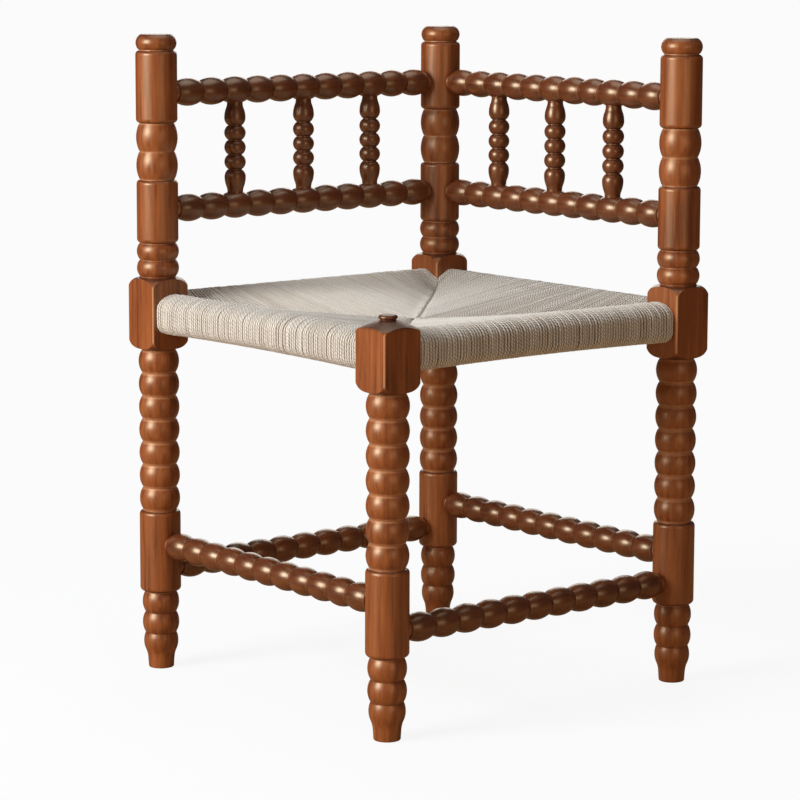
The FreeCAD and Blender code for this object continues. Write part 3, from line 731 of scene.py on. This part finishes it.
@dataclass
class WovenSeat:
    """The seat: single cords side by side, over and under each seat rail.

    On each side the cords run from the diagonal seam over the rail, down its outer face and
    back underneath. Along one half of each side they cross over their neighbours at the
    seam, and along the other half they pass under them. A start gives a cord's first points
    by the seam, outward in cord spacings and upward in cord radii.
    """

    shape: SeatShape
    cord: Cord
    finish: PaperCord
    cords_per_side: int = 96
    seed: int = 11
    over_start: tuple[tuple[float, float], ...] = ((-0.55, -3.2), (-0.45, -0.6), (-0.05, 0.7))
    under_start: tuple[tuple[float, float], ...] = ((-2.5, -3.0), (-0.9, -2.0), (0.0, -1.1))
    end_back: float = 0.6
    end_rise: float = 1.5
    end_lift: float = 0.6
    ease_spacings: float = 3.0
    ease_share: float = 0.3
    top_steps: int = 14
    under_steps: int = 12
    radius_spread: float = 0.03
    crest_spread: float = 0.22 * MM
    crest_limits: tuple[float, float] = (-0.4 * MM, 0.5 * MM)
    drift_step: float = 0.42 * MM
    drift_limit: float = 0.85 * MM
    calm_cords: int = 3
    calm_share: float = 0.25
    wavers: tuple[tuple[float, float], ...] = ((70 * MM, 0.16 * MM), (31 * MM, 0.10 * MM))
    odd_cords: float = 0.22
    odd_tone_spread: float = 0.36
    tone_spread: float = 0.17
    strand_shift: float = 0.05
    fine_step: float = 0.5 * MM
    smooth_steps: int = 7
    smooth_passes: int = 2

    def mesh(self) -> None:
        """Make the woven pieces and put them in place of the plain panels."""
        material = self.finish.material("paper_cord")
        for side in Side:
            for half, over in (("first", True), ("second", False)):
                piece = self.half_panel(side, over, f"{side.label}_cords_{half}_half")
                piece.data.materials.append(material)
                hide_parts(f"{side.label}_cord_panel")
                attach(piece, "root")
                log.info("wove %s: %d faces", piece.name, len(piece.data.polygons))

    def half_panel(self, side: Side, over: bool, name: str) -> bpy.types.Object:
        """Weave the cords between the middle of a side and one of its blocks.

        Args:
            side: The side of the seat.
            over: Whether these cords cross over their neighbours at the seam.
            name: The piece's name.

        Returns:
            The piece.
        """
        random = np.random.default_rng([self.seed, side.value, int(over)])
        parts = MeshParts()
        angles, shares, valley = self.cord.section()
        cords = self.cords_per_side // 2
        way = -1 if over else 1
        wander = self.drift(random, cords)
        for number in range(cords):
            distance = (number + 0.5) * self.pitch
            spread = wander[number] * (self.calm_share if number > cords - self.calm_cords
                                       else 1.0)
            radius = self.cord.radius * (1 + random.uniform(-self.radius_spread,
                                                            self.radius_spread))
            line, steps = self.centre_line(distance, over, random)
            along = (distance + spread + self.waver(steps, random)) * way
            rings, strand, beside = self.twist(side, line, steps, along, radius,
                                               random.uniform(0, PHASES), angles, shares)
            tone = np.full(rings.shape[0] * rings.shape[1], self.tone(random))
            strand[:, 2] = number * self.strand_shift + side.value
            # painted shade: 1 in the ply grooves and where the cord faces its neighbours
            crease_shade = np.maximum(np.tile(valley, rings.shape[0]), beside ** 5)
            parts.add_tube(rings, {"tone": tone, "valley": crease_shade, "strand": strand})
        return parts.build(name)

    @property
    def pitch(self) -> float:
        """The spacing of the cords along a side."""
        return 2 * self.shape.half_span / self.cords_per_side

    def drift(self, random: np.random.Generator, count: int) -> np.ndarray:
        """Small uneven gaps between cords, as a smooth wander of their places.

        Args:
            random: The source of chance.
            count: How many cords there are.

        Returns:
            Each cord's offset.
        """
        steps = random.normal(0, self.drift_step, count)
        smooth = np.convolve(np.cumsum(steps), np.ones(3) / 3, mode="same")
        pull = np.convolve(smooth, np.ones(9) / 9, mode="same")
        return np.clip(smooth - pull, -self.drift_limit, self.drift_limit)

    def waver(self, places: np.ndarray, random: np.random.Generator) -> np.ndarray:
        """How far a cord strays sideways along its length.

        Args:
            places: Distances along the cord.
            random: The source of chance.

        Returns:
            The offset at each distance.
        """
        offset = np.zeros_like(places)
        for length, reach in self.wavers:
            offset += reach * np.sin(2 * math.pi * places / length + random.uniform(0, PHASES))
        return offset

    def tone(self, random: np.random.Generator) -> float:
        """How pale one cord is, from 0 to 1; a few are much paler or darker."""
        spread = self.odd_tone_spread if random.random() < self.odd_cords else self.tone_spread
        return float(np.clip(random.normal(0.5, spread), 0, 1))

    def centre_line(self, place: float, over: bool, random: np.random.Generator
                    ) -> tuple[np.ndarray, np.ndarray]:
        """A cord's line across its rail, outward and upward.

        Args:
            place: The distance of the cord from the middle of its side.
            over: Whether it crosses over its neighbours at the seam.
            random: The source of chance.

        Returns:
            Points on the line, and the step between rings that suits each of them.
        """
        shape, radius, pitch = self.shape, self.cord.radius, self.pitch
        seam = shape.seam_top(place) - radius
        start = self.over_start if over else self.under_start
        lift = start[-1][1] * radius
        crest_lift = float(np.clip(random.normal(0, self.crest_spread), *self.crest_limits))
        top = shape.top - radius + crest_lift
        wide = shape.face - shape.crest - radius
        tall = shape.top_curve_height - radius
        turn_height = shape.top - shape.top_curve_height
        ease = min(self.ease_spacings * pitch, self.ease_share * (shape.crest - place))
        slope = (top - seam) / (shape.crest - place)
        line = [(place + out * pitch, seam + up * radius) for out, up in start]
        line.append((place + ease, seam + slope * ease))
        for angle in np.linspace(math.pi / 2, 0, self.top_steps):
            line.append((shape.crest + (wide + crest_lift) * math.cos(angle),
                         turn_height + tall * math.sin(angle) + crest_lift * math.sin(angle)))
        under = shape.bottom + radius + shape.under_lift * (1 - (place / shape.half_span) ** 2)
        under_wide = shape.under_curve_width - radius
        under_tall = shape.under_curve_height - radius
        low = under + under_tall
        for angle in np.linspace(0, -math.pi / 2, self.under_steps):
            outer = under_wide + crest_lift
            line.append((shape.face - radius - under_wide + outer * math.cos(angle),
                         low + under_tall * math.sin(angle)))
        line.append((shape.crest, under))
        seam_under = shape.seam_under(place) + radius - lift * self.end_lift
        line += [(place, seam_under),
                 (place - self.end_back * pitch, seam_under + self.end_rise * radius)]
        return self.spaced(np.array(line))

    def spaced(self, corners: np.ndarray) -> tuple[np.ndarray, np.ndarray]:
        """Smooth a line of corners and space points along it.

        Args:
            corners: The line's corners.

        Returns:
            Evenly smoothed points, and their distance along the line.
        """
        steps = np.linalg.norm(np.diff(corners, axis=0), axis=1)
        at = np.concatenate([[0], np.cumsum(steps)])
        dense_at = np.arange(0, at[-1], self.fine_step)
        dense = np.stack([np.interp(dense_at, at, corners[:, axis]) for axis in (0, 1)], axis=1)
        kernel = np.ones(self.smooth_steps) / self.smooth_steps
        reach = self.smooth_steps // 2
        for _ in range(self.smooth_passes):
            padded = np.pad(dense, ((reach, reach), (0, 0)), mode="edge")
            dense = np.stack([np.convolve(padded[:, axis], kernel, mode="valid")
                              for axis in (0, 1)], axis=1)
        steps = np.linalg.norm(np.diff(dense, axis=0), axis=1)
        at = np.concatenate([[0], np.cumsum(steps)])
        under = dense[:, 1] < self.shape.bottom + 3.2 * self.cord.radius
        under_start = at[int(np.argmax(under & (at > at[-1] * 0.3)))]
        places = np.concatenate([np.arange(0, under_start, self.cord.step),
                                 np.arange(under_start, at[-1], self.cord.under_step)])
        line = np.stack([np.interp(places, at, dense[:, axis]) for axis in (0, 1)], axis=1)
        return line, places

    def twist(self, side: Side, line: np.ndarray, places: np.ndarray, along: np.ndarray,
              radius: float, phase: float, angles: np.ndarray, shares: np.ndarray
              ) -> tuple[np.ndarray, np.ndarray, np.ndarray]:
        """Turn the cord's section along its line, a left-handed twist.

        Args:
            side: The side of the seat.
            line: Points of the cord's line, outward and upward.
            places: The distance of each point along the line.
            along: The cord's place along its side, at each point.
            radius: The cord's radius.
            phase: The twist at the start.
            angles: The angles of the section's points.
            shares: Their shares of the radius.

        Returns:
            The rings of the tube, the strand attribute of its points, and how far each
            point turns to the cord beside it.
        """
        outward, along_axis = side.outward, side.along
        upward = np.array([0.0, 0.0, 1.0])
        middles = (line[:, :1] * outward + line[:, 1:] * upward
                   + along[:, None] * along_axis)
        slopes = np.gradient(middles, places, axis=0)
        tangents = slopes / np.linalg.norm(slopes, axis=1, keepdims=True)
        normals = np.cross(along_axis, tangents)
        turned = angles[None, :] + phase - 2 * math.pi * places[:, None] / self.cord.lay
        reach = radius * shares[None, :, None]
        rings = (middles[:, None, :] + reach * (np.cos(turned)[..., None] * normals[:, None, :]
                 + np.sin(turned)[..., None] * along_axis))
        strand = np.zeros((len(places), len(angles), 3))
        strand[..., 0] = places[:, None]
        strand[..., 1] = angles[None, :] * radius
        return rings, strand.reshape(-1, 3), np.abs(np.sin(turned)).ravel()


def seat_shape() -> SeatShape:
    """Read the seat's shape from the frame's cord panels and seat rails."""
    low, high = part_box(Side.BACK_RIGHT.label + "_cord_panel")
    rail_low, rail_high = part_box(Side.BACK_RIGHT.label + "_seat_rail")
    post_low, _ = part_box("back_post")
    half_span = post_low.y
    crest_inset = 6.5 * MM
    crest = (rail_low.x + rail_high.x) / 2 - crest_inset
    return SeatShape(half_span=half_span, face=high.x, crest=crest, top=high.z, bottom=low.z)


@dataclass
class PhotoCamera:
    """The camera at the photograph's viewing angle."""

    place: tuple[float, float, float] = (-2.3091, -2.8088, 0.8978)
    yaw: float = math.radians(39.140)
    pitch: float = math.radians(8.921)
    roll: float = math.radians(-0.179)
    lens: float = 141.75
    sensor: float = 36.0

    def make(self) -> None:
        """Make the camera and set it as the scene's."""
        flat = Vector((math.sin(self.yaw), math.cos(self.yaw), 0.0))
        forward = flat * math.cos(self.pitch) - Vector((0, 0, math.sin(self.pitch)))
        level = Vector((math.cos(self.yaw), -math.sin(self.yaw), 0.0))
        down = forward.cross(level)
        right = level * math.cos(self.roll) + down * math.sin(self.roll)
        below = down * math.cos(self.roll) - level * math.sin(self.roll)
        turn = Matrix((right, -below, -forward)).transposed()
        data = bpy.data.cameras.new("photo_camera")
        data.lens = self.lens
        data.sensor_width = self.sensor
        data.clip_end = 200.0
        camera = bpy.data.objects.new("photo_camera", data)
        camera.matrix_world = Matrix.Translation(self.place) @ turn.to_4x4()
        bpy.context.scene.collection.objects.link(camera)
        bpy.context.scene.camera = camera


@dataclass(frozen=True)
class SoftLight:
    """A large soft lamp that faces a point."""

    name: str
    place: tuple[float, float, float]
    size: tuple[float, float]
    power: float
    colour: tuple[float, float, float]
    aim: tuple[float, float, float] = (0.0, 0.0, 0.40)

    def make(self) -> None:
        """Make the lamp."""
        data = bpy.data.lights.new(self.name, "AREA")
        data.shape = "RECTANGLE"
        data.size, data.size_y = self.size
        data.energy = self.power
        data.color = self.colour
        lamp = bpy.data.objects.new(self.name, data)
        lamp.location = self.place
        direction = Vector(self.aim) - Vector(self.place)
        lamp.rotation_euler = direction.to_track_quat("-Z", "Y").to_euler()
        bpy.context.scene.collection.objects.link(lamp)


@dataclass
class Studio:
    """A pale floor and backdrop in soft light."""

    floor_size: float = 90.0
    white: float = 0.965
    floor_tint: Colour = (0.46, 0.31, 0.18, 1.0)
    shadow_share: float = 0.10
    floor_light: float = 0.75
    shadow_reach: float = 1.6
    shadow_full: float = 0.3
    ambient: float = 0.07
    lights: tuple[SoftLight, ...] = (
        SoftLight("key", (-3.2, 0.35, 1.6), (1.5, 1.5), 132.0, (0.97, 1.0, 1.03)),
        SoftLight("front", (-0.6, -2.9, 0.9), (1.4, 1.4), 11.0, (1.0, 0.80, 0.62)),
        SoftLight("top", (0.2, 0.1, 2.9), (2.0, 2.0), 21.0, (0.96, 1.0, 1.06)),
        SoftLight("back", (2.2, 2.6, 1.5), (1.8, 1.8), 28.0, (1.0, 0.97, 0.93)),
    )

    def make(self) -> None:
        """Make the floor, the lamps and the world."""
        self.make_floor()
        for light in self.lights:
            light.make()
        self.make_world()

    def make_floor(self) -> None:
        """A wide pale floor that shows a faint shadow, and is clear from below."""
        half = self.floor_size / 2
        mesh = bpy.data.meshes.new("floor")
        corners = [(-half, -half, 0), (half, -half, 0), (half, half, 0), (-half, half, 0)]
        mesh.from_pydata(corners, [], [(0, 1, 2, 3)])
        floor = bpy.data.objects.new("floor", mesh)
        bpy.context.scene.collection.objects.link(floor)
        shader = Shader("pale_floor")
        seen = shader.add("LightPath").outputs["Is Camera Ray"]
        place = shader.add("TexCoord").outputs["Object"]
        away = shader.add("VectorMath", {0: place}, operation="LENGTH").outputs["Value"]
        share = shader.remap(away, self.shadow_reach, self.shadow_full, 0.0,
                             self.shadow_share)
        glow_strength = shader.math("SUBTRACT", self.white,
                                    shader.math("MULTIPLY", share, self.floor_light))
        glow = shader.add("Emission", {"Strength": glow_strength})
        faint = shader.add("BsdfDiffuse", {"Color": share})
        shown = shader.add("AddShader", {0: glow.outputs[0], 1: faint.outputs[0]})
        plain = shader.add("BsdfDiffuse", {"Color": self.floor_tint})
        both = shader.add("MixShader", {0: seen, 1: plain.outputs[0], 2: shown.outputs[0]})
        below = shader.add("NewGeometry").outputs["Backfacing"]
        clear = shader.add("BsdfTransparent")
        one_sided = shader.add("MixShader", {0: below, 1: both.outputs[0],
                                             2: clear.outputs[0]})
        mesh.materials.append(shader.surface(one_sided))

    def make_world(self) -> None:
        """An even pale surround, which the camera sees as white."""
        world = bpy.data.worlds.new("surround")
        world.use_nodes = True
        nodes, links = world.node_tree.nodes, world.node_tree.links
        seen = nodes.new("ShaderNodeLightPath").outputs["Is Camera Ray"]
        strength = nodes.new("ShaderNodeMix")
        strength.inputs[2].default_value = self.ambient
        strength.inputs[3].default_value = self.white
        links.new(seen, strength.inputs[0])
        background = nodes["Background"]
        background.inputs["Color"].default_value = (1.0, 1.0, 1.0, 1.0)
        links.new(strength.outputs[0], background.inputs["Strength"])
        bpy.context.scene.world = world


def main() -> None:
    """Build the scene."""
    logging.basicConfig(level=logging.INFO, format="%(message)s")
    bpy.context.scene.view_settings.view_transform = "Standard"
    PhotoCamera().make()
    bare = PlainFinish(low=(0.30, 0.18, 0.09, 1.0), high=(0.48, 0.32, 0.17, 1.0),
                       scale=160.0, stretch=0.05, roughness=0.6)
    card = PlainFinish(low=(0.22, 0.15, 0.09, 1.0), high=(0.34, 0.25, 0.16, 1.0),
                       scale=500.0, stretch=0.4, roughness=0.85)
    TurnedFrame(StainedWood(), bare, card).dress(frame["nodes"])
    WovenSeat(seat_shape(), Cord(), PaperCord()).mesh()
    Studio().make()


if __name__ == "__main__":
    main()
